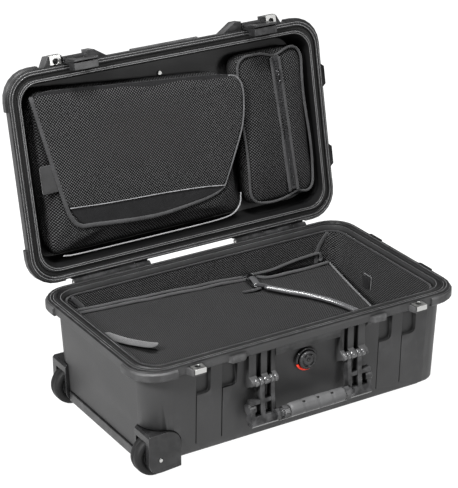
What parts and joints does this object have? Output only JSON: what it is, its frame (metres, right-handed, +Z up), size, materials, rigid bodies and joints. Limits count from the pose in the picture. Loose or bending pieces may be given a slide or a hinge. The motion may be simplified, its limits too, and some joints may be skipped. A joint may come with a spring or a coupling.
{
  "type": "pilot rolling flight case",
  "caption": "Wheeled hard-shell carry-on flight case, lid open, with fabric lid organiser, padded liner with zipped cover panel, double-throw latches and pull handle.",
  "frame": {"origin": "middle of the flat underside that the case stands on, level with the bottom of its wheels", "axes": "+X along the case from the wheels to the pull handle, -Y towards the latches and front handle, +Z up"},
  "size_m": [0.552, 0.4692, 0.5059],
  "materials": {
    "shell": "fine moulded texture, black",
    "moulded": "satin black moulding",
    "overmould": "soft black overmould",
    "tyre": "satin black polyurethane",
    "gasket": "black cellular rubber",
    "seal": "red silicone",
    "mesh_fabric": "black spacer mesh over foam",
    "binding": "woven polyester tape",
    "strap": "glossy black tubing over cord",
    "zip_metal": "black painted zip slider",
    "steel": "bright satin stainless steel",
    "aluminium": "grey anodised"
  },
  "bodies": {
    "base": {"base_shell": "shell", "hinge_pin_left": "steel", "hinge_pin_right": "steel", "base_padlock_plate_left": "steel", "base_padlock_plate_right": "steel", "valve_body": "moulded", "valve_seal": "seal", "handle_pin_left": "steel", "handle_pin_right": "steel", "side_handle_pin_front": "steel", "side_handle_pin_rear": "steel", "wheel_housing_front": "moulded", "wheel_housing_rear": "moulded", "wheel_axle_front": "steel", "wheel_axle_rear": "steel", "end_bumper": "moulded", "trolley_housing": "moulded", "trolley_cover_plate": "moulded", "liner_walls": "mesh_fabric", "floor_pad": "mesh_fabric", "base_zip_chain": "binding"},
    "lid": {"lid_shell": "shell", "lid_gasket": "gasket", "lid_padlock_plate_left": "steel", "lid_padlock_plate_right": "steel", "latch_pin_left": "steel", "latch_pin_right": "steel", "laptop_pouch": "mesh_fabric", "accessory_pouch": "mesh_fabric", "lid_zip_chain": "binding", "lid_stud": "steel"},
    "latch_clip_left": {"latch_clip_left": "moulded", "lever_pin_left": "steel"},
    "latch_clip_right": {"latch_clip_right": "moulded", "lever_pin_right": "steel"},
    "latch_lever_left": {"latch_lever_left": "moulded"},
    "latch_lever_right": {"latch_lever_right": "moulded"},
    "front_handle": {"handle_frame": "moulded", "handle_grip": "overmould"},
    "side_handle": {"side_handle_frame": "moulded", "side_handle_grip": "overmould"},
    "valve_knob": {"valve_knob": "moulded"},
    "wheel_front": {"wheel_tyre_front": "tyre", "wheel_hub_front": "moulded"},
    "wheel_rear": {"wheel_tyre_rear": "tyre", "wheel_hub_rear": "moulded"},
    "trolley_stage_1": {"outer_tube_front": "aluminium", "outer_tube_rear": "aluminium", "trolley_collar": "moulded"},
    "trolley_stage_2": {"inner_tube_front": "aluminium", "inner_tube_rear": "aluminium", "trolley_grip": "moulded"},
    "trolley_button": {"trolley_button": "overmould"},
    "cover_panel": {"cover_panel": "mesh_fabric", "carry_strap": "strap", "pull_tab": "binding"},
    "base_zip_slider": {"base_zip_slider": "zip_metal"},
    "laptop_flap": {"laptop_flap": "mesh_fabric"},
    "lid_zip_slider": {"lid_zip_slider": "zip_metal"}
  },
  "joints": [
    {"name": "lid_hinge", "type": "hinge", "parent": "base", "child": "lid", "pos_m": [0, 0.166, 0.172], "axis": [-1, 0, 0], "range_deg": [-101.5, 0]},
    {"name": "latch_left_swing", "type": "hinge", "parent": "lid", "child": "latch_clip_left", "pos_m": [-0.1545, 0.24963, 0.49277], "axis": [-1, 0, 0], "range_deg": [0, 95]},
    {"name": "latch_right_swing", "type": "hinge", "parent": "lid", "child": "latch_clip_right", "pos_m": [0.1545, 0.24963, 0.49277], "axis": [-1, 0, 0], "range_deg": [0, 95]},
    {"name": "latch_left_lever", "type": "hinge", "parent": "latch_clip_left", "child": "latch_lever_left", "pos_m": [-0.1545, 0.23917, 0.49653], "axis": [-1, 0, 0], "range_deg": [0, 70]},
    {"name": "latch_right_lever", "type": "hinge", "parent": "latch_clip_right", "child": "latch_lever_right", "pos_m": [0.1545, 0.23917, 0.49653], "axis": [-1, 0, 0], "range_deg": [0, 70]},
    {"name": "front_handle_swing", "type": "hinge", "parent": "base", "child": "front_handle", "pos_m": [0, -0.162, 0.118], "axis": [-1, 0, 0], "range_deg": [0, 100]},
    {"name": "side_handle_swing", "type": "hinge", "parent": "base", "child": "side_handle", "pos_m": [0.263, 0, 0.142], "axis": [0, -1, 0], "range_deg": [0, 100]},
    {"name": "valve_knob_turn", "type": "hinge", "parent": "base", "child": "valve_knob", "pos_m": [0, -0.156, 0.127], "axis": [0, -1, 0], "range_deg": [0, 180]},
    {"name": "wheel_front_spin", "type": "hinge", "parent": "base", "child": "wheel_front", "pos_m": [-0.238, -0.124, 0.031], "axis": [0, 1, 0], "continuous": true},
    {"name": "wheel_rear_spin", "type": "hinge", "parent": "base", "child": "wheel_rear", "pos_m": [-0.238, 0.124, 0.031], "axis": [0, 1, 0], "continuous": true},
    {"name": "trolley_stage_1_slide", "type": "slide", "parent": "base", "child": "trolley_stage_1", "axis": [1, 0, 0], "range_m": [0, 0.24]},
    {"name": "trolley_stage_2_slide", "type": "slide", "parent": "trolley_stage_1", "child": "trolley_stage_2", "axis": [1, 0, 0], "range_m": [0, 0.24]},
    {"name": "trolley_button_press", "type": "slide", "parent": "trolley_stage_2", "child": "trolley_button", "axis": [-1, 0, 0], "range_m": [0, 0.003], "stiffness_N_per_m": 400},
    {"name": "cover_panel_swing", "type": "hinge", "parent": "base", "child": "cover_panel", "pos_m": [0, -0.127, 0.12327], "axis": [0.9938, 0, -0.1111], "range_deg": [0, 80]},
    {"name": "base_zip_slide", "type": "slide", "parent": "base", "child": "base_zip_slider", "axis": [0.9986, 0, -0.0537], "range_m": [-0.291, 0.115]},
    {"name": "laptop_flap_swing", "type": "hinge", "parent": "lid", "child": "laptop_flap", "pos_m": [-0.059, 0.21836, 0.4379], "axis": [-0.996, 0.0179, 0.0877], "range_deg": [0, 100]},
    {"name": "lid_zip_slide", "type": "slide", "parent": "lid", "child": "lid_zip_slider", "axis": [0.0494, -0.1991, -0.9787], "range_m": [-0.018, 0.16]}
  ]
}
